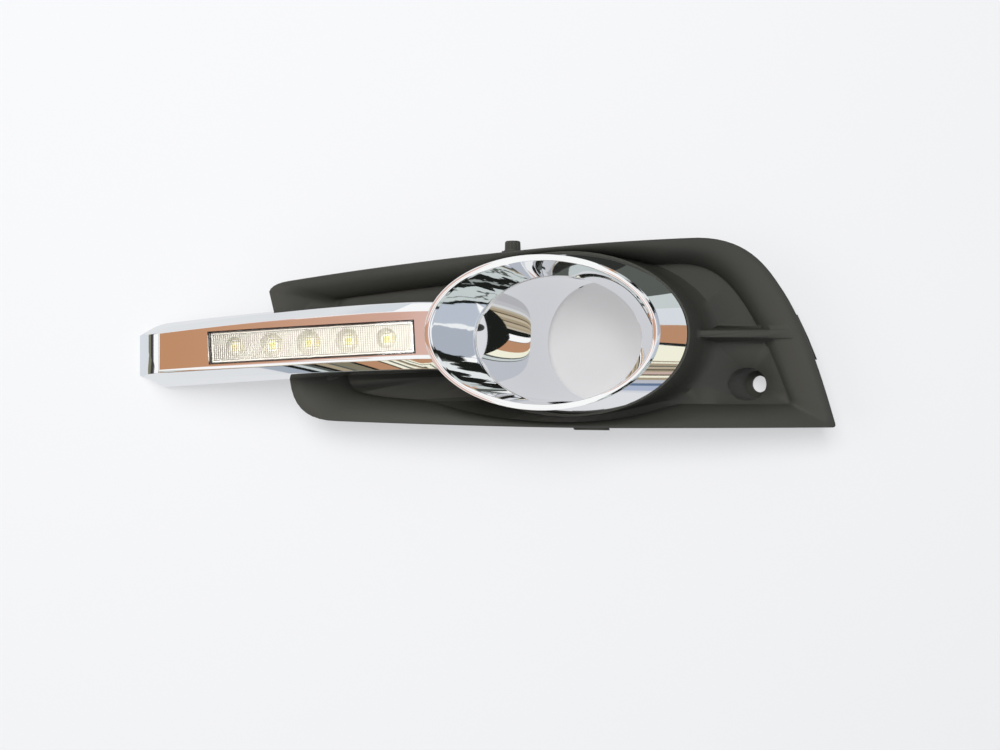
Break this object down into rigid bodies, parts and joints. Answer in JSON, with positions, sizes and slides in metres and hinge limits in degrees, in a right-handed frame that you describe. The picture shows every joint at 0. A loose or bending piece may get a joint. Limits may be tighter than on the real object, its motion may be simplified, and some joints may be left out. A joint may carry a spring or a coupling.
{
  "type": "daytime running light",
  "caption": "Daytime running light in a chrome arm, with an oval fog lamp surround and a black dished bezel; left-hand unit.",
  "frame": {"origin": "centre of the round lamp opening, on its axis", "axes": "+Z the way the unit looks when it lies on its back, +X along the arm from its raked end to the bezel, +Y the unit's upper side"},
  "size_m": [0.5183, 0.1383, 0.1],
  "materials": {
    "black_plastic": "fine-grained satin moulding",
    "chrome_plate": "bright plated",
    "clear_lens": "clear, finely fluted",
    "soft_seal": "matte",
    "bright_tray": "bright satin",
    "white_board": "white solder mask",
    "green_board": "green solder mask",
    "led_phosphor": "yellow phosphor under clear dome",
    "bare_aluminium": "extruded",
    "chip_black": "matte",
    "ivory_nylon": "matte",
    "zinc_screw": "zinc plated"
  },
  "bodies": {
    "root": {"bezel": "black_plastic", "chrome_trim": "chrome_plate", "drl_lens": "clear_lens", "lens_gasket": "soft_seal", "reflector_tray": "bright_tray", "led_board": "white_board", "heat_sink": "bare_aluminium", "driver_board": "green_board", "driver_chip": "chip_black", "driver_coil": "chip_black", "wire_header": "ivory_nylon", "rear_housing": "black_plastic", "housing_gasket": "soft_seal", "cable_gland": "soft_seal", "breather_vent": "black_plastic", "push_clip": "black_plastic", "led_1": "led_phosphor", "led_2": "led_phosphor", "led_3": "led_phosphor", "led_4": "led_phosphor", "led_5": "led_phosphor", "board_screw_1": "zinc_screw", "board_screw_2": "zinc_screw", "housing_screw_1": "zinc_screw", "trim_screw_1": "zinc_screw", "housing_screw_2": "zinc_screw", "trim_screw_2": "zinc_screw", "housing_screw_3": "zinc_screw", "trim_screw_3": "zinc_screw", "housing_screw_4": "zinc_screw", "trim_screw_4": "zinc_screw"}
  },
  "joints": []
}
